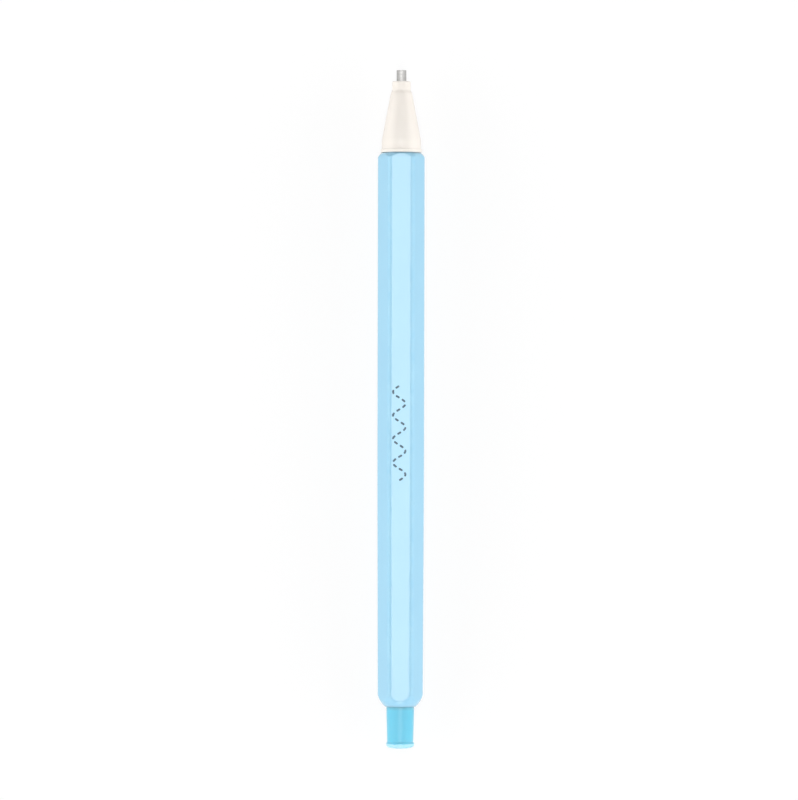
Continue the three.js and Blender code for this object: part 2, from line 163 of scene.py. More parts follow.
def mixed(tree, share, one, other):
    """The colour that lies between two colours at that share. 6 and 7 are the node's two colour inputs."""
    return put(tree, "ShaderNodeMix", {0: share, 6: one, 7: other}, data_type="RGBA").outputs[2]


def spread(tree, value, low, high, to_low=0.0, to_high=1.0):
    """A value's range from low to high, carried onto another range and held at its ends."""
    ends = {"Value": value, "From Min": low, "From Max": high, "To Min": to_low, "To Max": to_high}
    return put(tree, "ShaderNodeMapRange", ends).outputs["Result"]


def reckoned(tree, one, how, other=0.0):
    """One value and another, joined by an operation of that name."""
    return put(tree, "ShaderNodeMath", {0: one, 1: other}, operation=how).outputs[0]


def own_place(tree):
    """Where each point of a piece lies, in metres."""
    return put(tree, "ShaderNodeTexCoord").outputs["Object"]


def noise(tree, place, scale, detail):
    """Soft random patches over a place, about one over the scale wide."""
    return put(tree, "ShaderNodeTexNoise", {"Vector": place, "Scale": scale, "Detail": detail}).outputs["Fac"]


def new_effect(name, inputs, outputs):
    """An empty node group with named sockets, as (group, its inputs, its outputs)."""
    group = bpy.data.node_groups.new(name, "ShaderNodeTree")
    for label, value in inputs.items():
        kind = "NodeSocketColor" if isinstance(value, tuple) else "NodeSocketFloat"
        group.interface.new_socket(label, in_out="INPUT", socket_type=kind).default_value = value
    for label in outputs:
        kind = "NodeSocketColor" if label == "Color" else "NodeSocketFloat"
        group.interface.new_socket(label, in_out="OUTPUT", socket_type=kind)
    return group, put(group, "NodeGroupInput").outputs, put(group, "NodeGroupOutput").inputs


def effect_of(tree, group, values):
    """The outputs of a node group that is used in a tree with these values."""
    return put(tree, "ShaderNodeGroup", values, node_tree=group).outputs


def new_material(name, **settings):
    """A material, as (material, tree, shader), whose Principled BSDF's own sockets get these settings."""
    material = bpy.data.materials.new(name)
    material.use_nodes = True
    shader = material.node_tree.nodes["Principled BSDF"]
    for key, value in settings.items():
        shader.inputs[key.replace("_", " ")].default_value = value
    return material, material.node_tree, shader


def give_surface(tree, shader, surface, strength, depth):
    """Gives a shader a surface's colour and roughness, and its height as a relief of that depth in metres."""
    tree.links.new(surface["Color"], shader.inputs["Base Color"])
    tree.links.new(surface["Roughness"], shader.inputs["Roughness"])
    height = surface["Height"]
    relief = put(tree, "ShaderNodeBump", {"Strength": strength, "Distance": depth, "Height": height})
    tree.links.new(relief.outputs["Normal"], shader.inputs["Normal"])


def uneven_roughness(tree, given, patches):
    """The roughness that a group is given, plus its spread times how far the patches are off their middle."""
    swing = reckoned(tree, reckoned(tree, patches, "SUBTRACT", 0.5), "MULTIPLY", given["Roughness Spread"])
    return reckoned(tree, given["Roughness"], "ADD", swing)


# Grain: the body of a moulded or pressed material, with a slow drift of colour and a fine skin. Drift Size
# and Grain Size are in metres. Drift is how far the second colour shows.
grain, given, result = new_effect(
    "grain",
    {"Base": (1, 1, 1, 1), "Drift Color": (1, 1, 1, 1), "Drift": 0.5, "Drift Size": 0.01,
     "Grain Size": 0.0002, "Roughness": 0.5, "Roughness Spread": 0.1},
    ["Color", "Roughness", "Height"],
)
place = own_place(grain)
slow = noise(grain, place, reckoned(grain, 1.0, "DIVIDE", given["Drift Size"]), 3.0)
fine = noise(grain, place, reckoned(grain, 1.0, "DIVIDE", given["Grain Size"]), 2.0)
share = reckoned(grain, spread(grain, slow, 0.35, 0.65), "MULTIPLY", given["Drift"])
grain.links.new(mixed(grain, share, given["Base"], given["Drift Color"]), result["Color"])
grain.links.new(uneven_roughness(grain, given, fine), result["Roughness"])
grain.links.new(fine, result["Height"])

chalk, tree, shader = new_material("marking_chalk", IOR=1.4, Sheen_Weight=0.15, Sheen_Roughness=0.6)
pores = effect_of(tree, grain, {
    "Base": LEAD_WHITE, "Drift Color": LEAD_DUSTY, "Drift": 1.0, "Drift Size": 0.0016,
    "Grain Size": 0.00009, "Roughness": 0.85, "Roughness Spread": 0.2,
})
give_surface(tree, shader, pores, strength=0.6, depth=0.00002)

lead_profile = [
    (0, 0), (0, LEAD_RADIUS - LEAD_CHAMFER, LEAD_EDGE), (-LEAD_CHAMFER, LEAD_RADIUS, LEAD_EDGE),
    (LEAD_CHAMFER - LEAD_LENGTH, LEAD_RADIUS, LEAD_EDGE),
    (-LEAD_LENGTH, LEAD_RADIUS - LEAD_CHAMFER, LEAD_EDGE), (-LEAD_LENGTH, 0),
]
for node, rides_on in (("working_lead", "lead"), ("spare_lead_1", "plunger"), ("spare_lead_2", "plunger")):
    points, *rest = turned(lead_profile, LEAD_COLUMNS)
    low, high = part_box(node)
    points = in_frame(points, node, ((low.y + high.y) / 2, (low.z + high.z) / 2))
    sewn(f"{node}_stick", [(points, *rest)], chalk, node, rides_on)


# Guide sleeve: a short stainless tube, drawn and then turned down at its front, with a collar at its rear
# that stops it inside the cone. It steadies the lead while it marks.
SLEEVE_BORE = 0.725
SLEEVE_RADIUS = 1.025
SLEEVE_TIP_ROUND = 0.12
COLLAR_RADIUS = 1.375
COLLAR_FRONT = -5.26
COLLAR_REAR = -5.96
STEEL_GREY = (0.53, 0.525, 0.515, 1)
STEEL_SHADE = (0.42, 0.415, 0.405, 1)


def stretched(tree, place, along, across):
    """A place counted in lengths, one along the pencil's axis and one across it."""
    axes = put(tree, "ShaderNodeSeparateXYZ", {"Vector": place}).outputs
    lengths = {"X": along, "Y": across, "Z": across}
    counted = {axis: reckoned(tree, axes[axis], "DIVIDE", length) for axis, length in lengths.items()}
    return put(tree, "ShaderNodeCombineXYZ", counted).outputs["Vector"]


# Tool lines: the marks that turning or drawing leaves in metal. Along and Across are the lengths of a mark in
# metres, along the pencil's axis and across it, so a short Along gives rings and a short Across streaks.
tool_lines, given, result = new_effect(
    "tool_lines",
    {"Base": (1, 1, 1, 1), "Shade": (1, 1, 1, 1), "Along": 0.0001, "Across": 0.01,
     "Roughness": 0.3, "Roughness Spread": 0.1},
    ["Color", "Roughness", "Height"],
)
drawn_out = stretched(tool_lines, own_place(tool_lines), given["Along"], given["Across"])
lines = noise(tool_lines, drawn_out, 1.0, 3.0)
shaded = mixed(tool_lines, spread(tool_lines, lines, 0.3, 0.7), given["Base"], given["Shade"])
tool_lines.links.new(shaded, result["Color"])
tool_lines.links.new(uneven_roughness(tool_lines, given, lines), result["Roughness"])
tool_lines.links.new(lines, result["Height"])


def worked_metal(name, base, shade, along, across, roughness, depth):
    """A bare metal with tool lines of those lengths and that depth, in metres."""
    material, tree, shader = new_material(name, Metallic=1.0)
    marks = effect_of(tree, tool_lines, {
        "Base": base, "Shade": shade, "Along": along, "Across": across, "Roughness": roughness,
        "Roughness Spread": 0.2,
    })
    give_surface(tree, shader, marks, 0.5, depth)
    return material


def turned_piece(name, corners, material, node, rides_on, columns=96):
    """A turned profile, in place of its node."""
    points, *rest = turned(corners, columns)
    return sewn(name, [(in_frame(points, node), *rest)], material, node, rides_on)


sleeve_steel = worked_metal("sleeve_steel", STEEL_GREY, STEEL_SHADE,
                            along=0.00005, across=0.004, roughness=0.55, depth=0.000004)
turned_piece("guide_sleeve_tube", [
    (0, SLEEVE_BORE, 0.03), (0, SLEEVE_RADIUS, SLEEVE_TIP_ROUND),
    (COLLAR_FRONT, SLEEVE_RADIUS), (COLLAR_FRONT, COLLAR_RADIUS, 0.06),
    (COLLAR_REAR, COLLAR_RADIUS, 0.06), (COLLAR_REAR, SLEEVE_BORE, 0.06),
], sleeve_steel, "lead_sleeve", "tip")


# Lead retainer: a small plug of black rubber, pressed into the cone behind the sleeve. It grips the lead just
# enough to hold it while the jaws go back for more.
RETAINER_LENGTH = 2.4
RETAINER_RADIUS = 1.7
RETAINER_HOLE = 0.7
RETAINER_FUNNEL = 0.6
RUBBER_BLACK = (0.022, 0.023, 0.025, 1)
RUBBER_BLOOM = (0.05, 0.052, 0.055, 1)


def moulded(name, base, drift, drift_size, grain_size, roughness, skin, **settings):
    """A moulded material: grain of those sizes, with a skin of that depth, in metres."""
    material, tree, shader = new_material(name, **settings)
    surface = effect_of(tree, grain, {
        "Base": base, "Drift Color": drift, "Drift": 0.8, "Drift Size": drift_size, "Grain Size": grain_size,
        "Roughness": roughness, "Roughness Spread": 0.12,
    })
    give_surface(tree, shader, surface, 0.4, skin)
    return material


rubber = moulded("retainer_rubber", RUBBER_BLACK, RUBBER_BLOOM, drift_size=0.0012, grain_size=0.00007,
                 roughness=0.8, skin=0.000008, IOR=1.45)
turned_piece("lead_retainer_plug", [
    (0, RETAINER_HOLE, 0.08), (0, RETAINER_RADIUS, 0.1), (-RETAINER_LENGTH, RETAINER_RADIUS, 0.1),
    (-RETAINER_LENGTH, RETAINER_HOLE + RETAINER_FUNNEL, 0.08),
    (RETAINER_FUNNEL - RETAINER_LENGTH, RETAINER_HOLE, 0.08),
], rubber, "lead_retainer", "cone")


# Nose cone: moulded cream plastic, with a straight rim and a flange that meet the barrel, and a spigot behind
# them with a coarse thread. It holds the sleeve and the retainer, and clamps the mechanism into the barrel.
NOSE_RADIUS = 1.945
NOSE_REAR = -1.9
SHOULDER_RADIUS = 2.255
SHOULDER_REAR = -2.5
RIM_RADIUS = 4.13
RIM_FRONT = -12.44
RIM_REAR = -14.29
FLANGE_RADIUS = 4.34
FLANGE_REAR = -15.02
PRESS_GAP = 0.02
COLLAR_SEAT = -2.85
RETAINER_SEAT = -3.60
RETAINER_REAR = -6.05
JAW_ROOM = 2.05
RING_STOP = -11.362
RING_ROOM = 2.40
RING_ROOM_REAR = -15.112
HOUSING_HOLE = 2.84
HOLE_ROWS = (-15.6, -15.2)
HOLE_CHAMFER = 0.1
BARREL_MOUTH = -15.07
SPIGOT_FRONT = -16.0
SPIGOT_REAR = -22.07
SPIGOT_CHAMFER = 0.35
SPIGOT_FACE_ROW = 3.2
THREAD_ROOT = 3.56
THREAD_DEPTH = 0.3
THREAD_PITCH = 1.2
THREAD_CREST_HALF = 0.17
THREAD_FLANK = 0.2
THREAD_FADE = 0.7
THREAD_FRONT = -1.0
THREAD_REAR = -7.4
THREAD_ROWS = 150
CONE_COLUMNS = 144
CORNER_ROWS = EDGE_STEPS + 3
CONE_CREAM = (0.825, 0.775, 0.715, 1)
CONE_DRIFT = (0.845, 0.80, 0.745, 1)
CONE_RUBBED = (0.87, 0.85, 0.81, 1)
# Colour of the painted shade line at seams, and the scale of its patches.
SEAM_SHADE_COLOUR = (0.13, 0.12, 0.08, 1)
SEAM_SHADE_PATCH_SCALE = 900.0
HAIRLINE_DEPTH = 0.6
HAIRLINE_ROUGHENS = 0.12
RUB_SMOOTHS = 0.15
FRONT_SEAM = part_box("barrel")[1].x


def thread_height(x, turn, start, end, widened=0.0):
    """How high a right-hand thread stands at x and turn, from 0 at its root to 1 on its crest: the distance
    to the nearest crest, along the axis, is compared with the crest's half width and the flank's. It fades
    out smoothly at its two ends. Turning it about +X by one turn carries it one pitch towards +X."""
    phase = x / THREAD_PITCH - turn / (2 * np.pi)
    from_crest = np.abs(phase - np.round(phase)) * THREAD_PITCH
    height = np.clip((THREAD_CREST_HALF + widened + THREAD_FLANK - from_crest) / THREAD_FLANK, 0, 1)
    for inside in (start - x, x - end):
        share = np.clip(inside / THREAD_FADE, 0, 1)
        height = height * share**2 * (3 - 2 * share)
    return height


# Edge rub and highlight: corners and rims that fingers and cases have polished paler and smoother. It reads
# how much of an edge each point is, and breaks that up with patches whose size is in metres. A bend over 1
# fills them. The button's dome gets such a bend, so there the paler colour is also a painted highlight.
edge_rub_and_highlight, given, result = new_effect("edge_rub_and_highlight", {"Amount": 0.5, "Patch Size": 0.001}, ["Mask"])
rim = put(edge_rub_and_highlight, "ShaderNodeAttribute", attribute_name="bend").outputs["Fac"]
patches = noise(edge_rub_and_highlight, own_place(edge_rub_and_highlight), reckoned(edge_rub_and_highlight, 1.0, "DIVIDE", given["Patch Size"]), 4.0)
broken_up = reckoned(edge_rub_and_highlight, rim, "MULTIPLY", spread(edge_rub_and_highlight, patches, 0.35, 0.65))
rub_and_highlight_mask = spread(edge_rub_and_highlight, broken_up, 0.0, 1.0)
edge_rub_and_highlight.links.new(reckoned(edge_rub_and_highlight, rub_and_highlight_mask, "MULTIPLY", given["Amount"]), result["Mask"])

# Hairlines: the faint scratches of a pencil that lives in a sewing box. Length and Width are in metres.
hairlines, given, result = new_effect("hairlines", {"Length": 0.006, "Width": 0.00008}, ["Mask"])
leaning = put(hairlines, "ShaderNodeMapping", {"Vector": own_place(hairlines), "Rotation": (0.5, 0.12, 0.3)})
drawn_out = stretched(hairlines, leaning.outputs["Vector"], given["Length"], given["Width"])
hairlines.links.new(spread(hairlines, noise(hairlines, drawn_out, 1.0, 1.0), 0.68, 0.76), result["Mask"])

# Painted seam shade: a thin dark line painted where two pieces meet, standing in for the shade in the gap
# between them. It is strongest at its place along the pencil, fades over a reach on both sides, and is
# uneven. At and Reach are in metres.
painted_seam_shade, given, result = new_effect("painted_seam_shade", {"At": 0.0, "Reach": 0.0005, "Amount": 0.3}, ["Mask"])
place = own_place(painted_seam_shade)
along = put(painted_seam_shade, "ShaderNodeSeparateXYZ", {"Vector": place}).outputs["X"]
away = reckoned(painted_seam_shade, reckoned(painted_seam_shade, along, "SUBTRACT", given["At"]), "ABSOLUTE")
close = spread(painted_seam_shade, away, 0.0, given["Reach"], 1.0, 0.0)
patches = spread(painted_seam_shade, noise(painted_seam_shade, place, SEAM_SHADE_PATCH_SCALE, 3.0), 0.3, 0.6, 0.5, 1.0)
seam_darkening = reckoned(painted_seam_shade, close, "MULTIPLY", patches)
painted_seam_shade.links.new(reckoned(painted_seam_shade, seam_darkening, "MULTIPLY", given["Amount"]), result["Mask"])


def handled_plastic(name, base, drift, rubbed, roughness, rub, patch, seams, **settings):
    """A moulded plastic that hands have touched: grain, edges rubbed paler by that much and in patches that
    size (on the button's dome this is also a painted highlight), hairlines, and a painted shade line at its
    seams, each given by its place, its reach and its amount."""
    material, tree, shader = new_material(name, **settings)
    surface = effect_of(tree, grain, {
        "Base": base, "Drift Color": drift, "Drift": 0.7, "Drift Size": 0.009, "Grain Size": 0.00025,
        "Roughness": roughness, "Roughness Spread": 0.1,
    })
    rub_and_highlight_mask = effect_of(tree, edge_rub_and_highlight, {"Amount": rub, "Patch Size": patch})["Mask"]
    marks = effect_of(tree, hairlines, {"Length": 0.007, "Width": 0.00009})["Mask"]
    colour = mixed(tree, rub_and_highlight_mask, surface["Color"], rubbed)
    # Painted shade: a dark line at each seam.
    for at, reach, amount in seams:
        shade_line = effect_of(tree, painted_seam_shade, {"At": at, "Reach": reach, "Amount": amount})["Mask"]
        colour = mixed(tree, shade_line, colour, SEAM_SHADE_COLOUR)
    tree.links.new(colour, shader.inputs["Base Color"])
    smoother = reckoned(tree, surface["Roughness"], "SUBTRACT", reckoned(tree, rub_and_highlight_mask, "MULTIPLY", RUB_SMOOTHS))
    scratched = reckoned(tree, smoother, "ADD", reckoned(tree, marks, "MULTIPLY", HAIRLINE_ROUGHENS))
    tree.links.new(scratched, shader.inputs["Roughness"])
    height = reckoned(tree, surface["Height"], "SUBTRACT", reckoned(tree, marks, "MULTIPLY", HAIRLINE_DEPTH))
    relief = put(tree, "ShaderNodeBump", {"Strength": 0.4, "Distance": 0.000003, "Height": height})
    tree.links.new(relief.outputs["Normal"], shader.inputs["Normal"])
    return material


# Its seam entry paints a thin shade line where the cone meets the barrel.
cone_plastic = handled_plastic("cone_plastic", CONE_CREAM, CONE_DRIFT, CONE_RUBBED,
                               roughness=0.42, rub=0.5, patch=0.0012, seams=[(FRONT_SEAM, 0.0004, 0.1)])

# The front is turned, from the ring's room through the bores and round the outside to the thread's root. Its
# last two corners, of CORNER_ROWS rows each, only close it and are cut off. The thread follows, and then the
# bore from the rear.
front_rows, front_bend = [part[:-2 * CORNER_ROWS] for part in softened([
    (RING_ROOM_REAR, HOUSING_HOLE), (RING_ROOM_REAR, RING_ROOM, 0.05), (RING_STOP, RING_ROOM, 0.05),
    (RING_STOP, JAW_ROOM), (RETAINER_REAR, JAW_ROOM), (RETAINER_REAR, RETAINER_RADIUS + PRESS_GAP),
    (RETAINER_SEAT, RETAINER_RADIUS + PRESS_GAP), (RETAINER_SEAT, COLLAR_RADIUS + PRESS_GAP),
    (COLLAR_SEAT, COLLAR_RADIUS + PRESS_GAP), (COLLAR_SEAT, SLEEVE_RADIUS + PRESS_GAP),
    (0, SLEEVE_RADIUS + PRESS_GAP, 0.05), (0, NOSE_RADIUS, 0.22), (NOSE_REAR, NOSE_RADIUS, 0.3),
    (SHOULDER_REAR, SHOULDER_RADIUS, 0.3), (RIM_FRONT, RIM_RADIUS, 0.8), (RIM_REAR, RIM_RADIUS, 0.06),
    (RIM_REAR, FLANGE_RADIUS, 0.16), (FLANGE_REAR, FLANGE_RADIUS, 0.22), (FLANGE_REAR, THREAD_ROOT, 0.05),
    (SPIGOT_FRONT, THREAD_ROOT), (SPIGOT_FRONT, HOUSING_HOLE),
])]
turn = np.linspace(0, 2 * np.pi, CONE_COLUMNS, endpoint=False)
spigot_x = np.linspace(SPIGOT_FRONT + 0.05, SPIGOT_REAR, THREAD_ROWS)[:, None]
thread = thread_height(spigot_x - BARREL_MOUTH, turn, THREAD_FRONT, THREAD_REAR)
spigot_radius = np.minimum(
    THREAD_ROOT + THREAD_DEPTH * thread,
    THREAD_ROOT + THREAD_DEPTH - np.maximum(SPIGOT_REAR + SPIGOT_CHAMFER - spigot_x, 0),
)
bore_rows = np.array([
    (SPIGOT_REAR, SPIGOT_FACE_ROW), (SPIGOT_REAR, HOUSING_HOLE + HOLE_CHAMFER),
    (SPIGOT_REAR + HOLE_CHAMFER, HOUSING_HOLE), *[(row, HOUSING_HOLE) for row in HOLE_ROWS],
])
x = np.concatenate([front_rows[:, :1], spigot_x, bore_rows[:, :1]])
radius = np.concatenate([front_rows[:, 1:] + 0 * turn, spigot_radius, bore_rows[:, 1:] + 0 * turn])
bend = np.concatenate([front_bend, np.zeros(len(spigot_x) + len(bore_rows))])[:, None]
sewn("nose_cone_shell", [(in_frame(spun(x, radius, turn), "nose_cone"), bend, True, True)],
     cone_plastic, "nose_cone", "cone")


# Chuck: a turned brass collet, slit into three jaws with small teeth in their bore. Its tapered head wedges
# into the clutch ring, which closes the jaws on the lead.
JAW_COUNT = 3
JAW_BORE = 0.70
TOOTH_DEPTH = 0.09
TOOTH_PITCH = 0.45
TOOTH_COUNT = 4
STEM_RADIUS = 1.38
HEAD_RADIUS = 1.88
HEAD_EDGE = 0.08
HEAD_LAND = 0.35
HEAD_TAPER = 3.2
SLIT_WIDTH = 0.4
SLIT_LENGTH = 12.0
CHUCK_LENGTH = 24.512
CHUCK_EDGE = 0.12
CHUCK_CREASE = 28
JAW_COLUMNS = 20
SLIT_COLUMNS = 6
WALL_LAYERS = 5
BRASS_BRIGHT = (0.78, 0.56, 0.24, 1)
BRASS_DARK = (0.62, 0.42, 0.16, 1)

brass = worked_metal("turned_brass", BRASS_BRIGHT, BRASS_DARK,
                     along=0.00006, across=0.005, roughness=0.28, depth=0.000006)


def slit_ring(x, radius):
    """Rings of points round the chuck at each x and radius: its jaws and the slits between them, whose walls
    lie half a slit's width off a plane through the axis, at the arc sine of that half over the radius."""
    half = np.arcsin(SLIT_WIDTH / 2 / radius)[..., None]
    jaw = np.linspace(0, 1, JAW_COLUMNS)
    slit = np.linspace(0, 1, SLIT_COLUMNS, endpoint=False)
    first = np.radians(90) + half
    last = np.radians(90 + 360 / JAW_COUNT) - half
    across_jaw = first + (last - first) * jaw
    across_slit = last + 2 * half * slit[1:]
    share = np.concatenate([across_jaw, across_slit], -1)
    turn = np.concatenate([share + np.radians(360 / JAW_COUNT) * k for k in range(JAW_COUNT)], -1)
    return spun(x[..., None], radius[..., None], turn)


# The jaws' outside and bore are the first and the last of several layers through their wall, all with rows at
# the same places: every tooth's root and tip, the head's bends and even steps between them.
tooth = np.arange(1, TOOTH_COUNT + 1) * TOOTH_PITCH
tooth_x = np.concatenate([[0.0], np.stack([tooth - TOOTH_PITCH / 2, tooth], 1).ravel(),
                          [(TOOTH_COUNT + 0.5) * TOOTH_PITCH, SLIT_LENGTH]])
tooth_depth = TOOTH_DEPTH * np.concatenate([[0.0], np.tile([0.0, 1.0], TOOTH_COUNT), [0.0, 0.0]])
jaw_x = np.unique(np.concatenate([
    tooth_x, [0.03, HEAD_EDGE, HEAD_LAND - 0.06, HEAD_LAND, HEAD_LAND + 0.06],
    np.linspace(HEAD_LAND + 0.1, HEAD_LAND + HEAD_TAPER, 8),
    np.linspace(HEAD_LAND + HEAD_TAPER + 0.1, SLIT_LENGTH, 8),
]))
jaw_outer = np.interp(jaw_x, [0, HEAD_EDGE, HEAD_LAND, HEAD_LAND + HEAD_TAPER, SLIT_LENGTH],
                      [HEAD_RADIUS - HEAD_EDGE, HEAD_RADIUS, HEAD_RADIUS, STEM_RADIUS, STEM_RADIUS])
jaw_inner = np.interp(jaw_x, tooth_x, JAW_BORE + tooth_depth)
wall = np.linspace(0, 1, WALL_LAYERS)
jaw_layers = [slit_ring(-jaw_x, jaw_outer + (jaw_inner - jaw_outer) * share) for share in wall]
grids = []
for k in range(JAW_COUNT):
    first = k * (JAW_COLUMNS + SLIT_COLUMNS - 1)
    last = first + JAW_COLUMNS - 1
    jaw = slice(first, last + 1)
    grids.append((jaw_layers[0][:, jaw], 0, False, False))
    grids.append((jaw_layers[-1][:, jaw], 0, False, False))
    for side in (first, last):
        grids.append((np.stack([layer[:, side] for layer in jaw_layers], 1), 1, False, False))
    grids.append((np.stack([layer[0, jaw] for layer in jaw_layers]), 1, False, False))
    slit = np.arange(last, last + SLIT_COLUMNS + 1) % jaw_layers[0].shape[1]
    grids.append((np.stack([layer[-1, slit] for layer in jaw_layers]), 0, False, False))
stem_x = np.array([SLIT_LENGTH, SLIT_LENGTH + 0.1,
                   CHUCK_LENGTH - 0.2, CHUCK_LENGTH - CHUCK_EDGE, CHUCK_LENGTH])
stem_radius = np.array([STEM_RADIUS] * 4 + [STEM_RADIUS - CHUCK_EDGE])
end_radius = STEM_RADIUS - CHUCK_EDGE + (JAW_BORE - STEM_RADIUS + CHUCK_EDGE) * wall
grids.append((slit_ring(-stem_x, stem_radius), 0, False, True))
grids.append((slit_ring(-stem_x, JAW_BORE + 0 * stem_x), 0, False, True))
grids.append((slit_ring(0 * end_radius - CHUCK_LENGTH, end_radius), 0, False, True))
chuck = sewn("chuck_collet", [(in_frame(points, "chuck"), *rest) for points, *rest in grids],
             brass, "chuck", "plunger")
chuck.data.set_sharp_from_angle(angle=np.radians(CHUCK_CREASE))


# Clutch ring: a plain turned brass ring with a flared mouth. It rides forward 1 mm with the jaws, stops
# against a step in the cone, and lets them open.
RING_LENGTH = 2.8
RING_RADIUS = 2.33
RING_BORE = 1.58
RING_MOUTH = 1.619
RING_FLARE = 0.25

turned_piece("clutch_ring_band", [
    (0, RING_MOUTH, 0.04), (0, RING_RADIUS, 0.15), (-RING_LENGTH, RING_RADIUS, 0.15),
    (-RING_LENGTH, RING_BORE, 0.05), (-RING_FLARE, RING_BORE, 0.05),
], brass, "clutch_ring", "clutch")


# Return spring: bright steel wire wound into nine coils, with a closed coil at each end. It sits round the
# chuck's stem, inside the housing, and pushes the lead tube back after each click.
COIL_RADIUS = 1.83
WIRE_RADIUS = 0.2
COIL_COUNT = 9
CLOSED_PITCH = 0.85
SPRING_LENGTH = 12.0
COIL_STEPS = 48
WIRE_SIDES = 16
WIRE_END_SHARE = 0.9
SPRING_BRIGHT = (0.62, 0.63, 0.64, 1)
SPRING_SHADE = (0.42, 0.43, 0.45, 1)

wire_steel = worked_metal("spring_wire", SPRING_BRIGHT, SPRING_SHADE,
                          along=0.003, across=0.00006, roughness=0.24, depth=0.000003)

# The wire's middle line is a helix whose pitch is small in its first and last coil. Round it the wire's own
# circle stands square to the line's heading, and closes to a point at both ends.
open_pitch = (SPRING_LENGTH - 2 * WIRE_RADIUS - 2 * CLOSED_PITCH) / (COIL_COUNT - 2)
coil = np.linspace(0, COIL_COUNT, COIL_COUNT * COIL_STEPS + 1)
run = np.interp(coil, [0, 1, COIL_COUNT - 1, COIL_COUNT],
                [0, CLOSED_PITCH, CLOSED_PITCH + (COIL_COUNT - 2) * open_pitch,
                 2 * CLOSED_PITCH + (COIL_COUNT - 2) * open_pitch])
turn = 2 * np.pi * coil
middle_line = spun(-WIRE_RADIUS - run, COIL_RADIUS, turn)
outward = spun(0, 1, turn)
heading = np.gradient(middle_line, axis=0)
heading /= np.linalg.norm(heading, axis=1, keepdims=True)
sideways = np.cross(heading, outward)
around = np.linspace(0, 2 * np.pi, WIRE_SIDES, endpoint=False)[:, None]
reach = np.full(len(coil), WIRE_RADIUS)
reach[[0, -1]] = 0
reach[[1, -2]] = WIRE_RADIUS * WIRE_END_SHARE
middle_line[[0, -1]] = middle_line[[1, -2]]
points = middle_line[:, None] + reach[:, None, None] * (
    np.cos(around) * outward[:, None] + np.sin(around) * sideways[:, None])
spring = sewn("return_spring_coil", [(in_frame(points, "return_spring"), 0, False, True)],
              wire_steel, "return_spring", "shell")
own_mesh(spring)


# Mechanism housing: a white moulded tube round the spring. Its flange passes the barrel's thread and is
# clamped between the cone and a step in the barrel, and its web takes the spring's push.
HOUSING_LENGTH = 19.7
HOUSING_NOSE = 2.78
HOUSING_RADIUS = 3.05
CLAMP_FRONT = -6.858
CLAMP_REAR = -8.058
CLAMP_RADIUS = 3.56
STEM_HOLE = 1.48
SPRING_ROOM = 2.23
WEB_REAR = -2.6
HOUSING_WHITE = (0.80, 0.80, 0.775, 1)
HOUSING_DRIFT = (0.84, 0.84, 0.82, 1)
HOUSING_COLUMNS = 128

white_plastic = moulded("housing_plastic", HOUSING_WHITE, HOUSING_DRIFT, drift_size=0.004, grain_size=0.0002,
                        roughness=0.5, skin=0.000006, IOR=1.5)
turned_piece("mechanism_housing_tube", [
    (0, STEM_HOLE, 0.06), (0, HOUSING_NOSE, 0.2), (CLAMP_FRONT, HOUSING_NOSE, 0.1),
    (CLAMP_FRONT, CLAMP_RADIUS, 0.08), (CLAMP_REAR, CLAMP_RADIUS, 0.08), (CLAMP_REAR, HOUSING_RADIUS, 0.1),
    (-HOUSING_LENGTH, HOUSING_RADIUS, 0.2), (-HOUSING_LENGTH, SPRING_ROOM, 0.08),
    (WEB_REAR, SPRING_ROOM, 0.15), (WEB_REAR, STEM_HOLE, 0.06),
], white_plastic, "mechanism_housing", "shell", HOUSING_COLUMNS)


# Tube coupling: a grey moulded plug. The chuck is pressed in its front, the lead tube goes over its rear
# spigot, and a funnel leads one lead at a time from the tube to the jaws.
COUPLING_LENGTH = 14.3
GUIDE_RADIUS = 2.13
GUIDE_REAR = -9.3
CHUCK_SOCKET = 1.40
CHUCK_SOCKET_DEPTH = 4.55
STOP_REAR = -10.3
TUBE_SPIGOT = 1.97
LEAD_HOLE = 0.85
FUNNEL_MOUTH = 1.67
FUNNEL_FRONT = -11.8
TUBE_RADIUS = 2.34
COUPLING_GREY = (0.43, 0.455, 0.47, 1)
COUPLING_DRIFT = (0.49, 0.51, 0.52, 1)

grey_plastic = moulded("coupling_plastic", COUPLING_GREY, COUPLING_DRIFT, drift_size=0.003, grain_size=0.0002,
                       roughness=0.48, skin=0.000006, IOR=1.5)
turned_piece("tube_coupling_plug", [
    (0, CHUCK_SOCKET, 0.06), (0, GUIDE_RADIUS, 0.2), (GUIDE_REAR, GUIDE_RADIUS, 0.08),
    (GUIDE_REAR, TUBE_RADIUS, 0.06), (STOP_REAR, TUBE_RADIUS, 0.06), (STOP_REAR, TUBE_SPIGOT, 0.06),
    (-COUPLING_LENGTH, TUBE_SPIGOT, 0.2), (-COUPLING_LENGTH, FUNNEL_MOUTH, 0.05),
    (FUNNEL_FRONT, LEAD_HOLE, 0.3), (-CHUCK_SOCKET_DEPTH, LEAD_HOLE, 0.05),
    (-CHUCK_SOCKET_DEPTH, CHUCK_SOCKET, 0.05),
], grey_plastic, "tube_coupling", "plunger")


# Lead tube: a thin extruded tube of milky clear plastic, which carries spare leads and links the button to
# the chuck. It is pressed over the coupling's spigot.
TUBE_LENGTH = 93.408
TUBE_BORE = 1.99
TUBE_CLEAR = (0.76, 0.83, 0.86, 1)
TUBE_DRIFT = (0.82, 0.87, 0.89, 1)

tube_plastic = moulded("tube_plastic", TUBE_CLEAR, TUBE_DRIFT, drift_size=0.006, grain_size=0.0004,
                       roughness=0.22, skin=0.000002, IOR=1.5, Transmission_Weight=0.55)
turned_piece("lead_tube_wall", [
    (0, TUBE_BORE, 0.05), (0, TUBE_RADIUS, 0.08), (-TUBE_LENGTH, TUBE_RADIUS, 0.08),
    (-TUBE_LENGTH, TUBE_BORE, 0.05),
], tube_plastic, "lead_tube", "plunger")


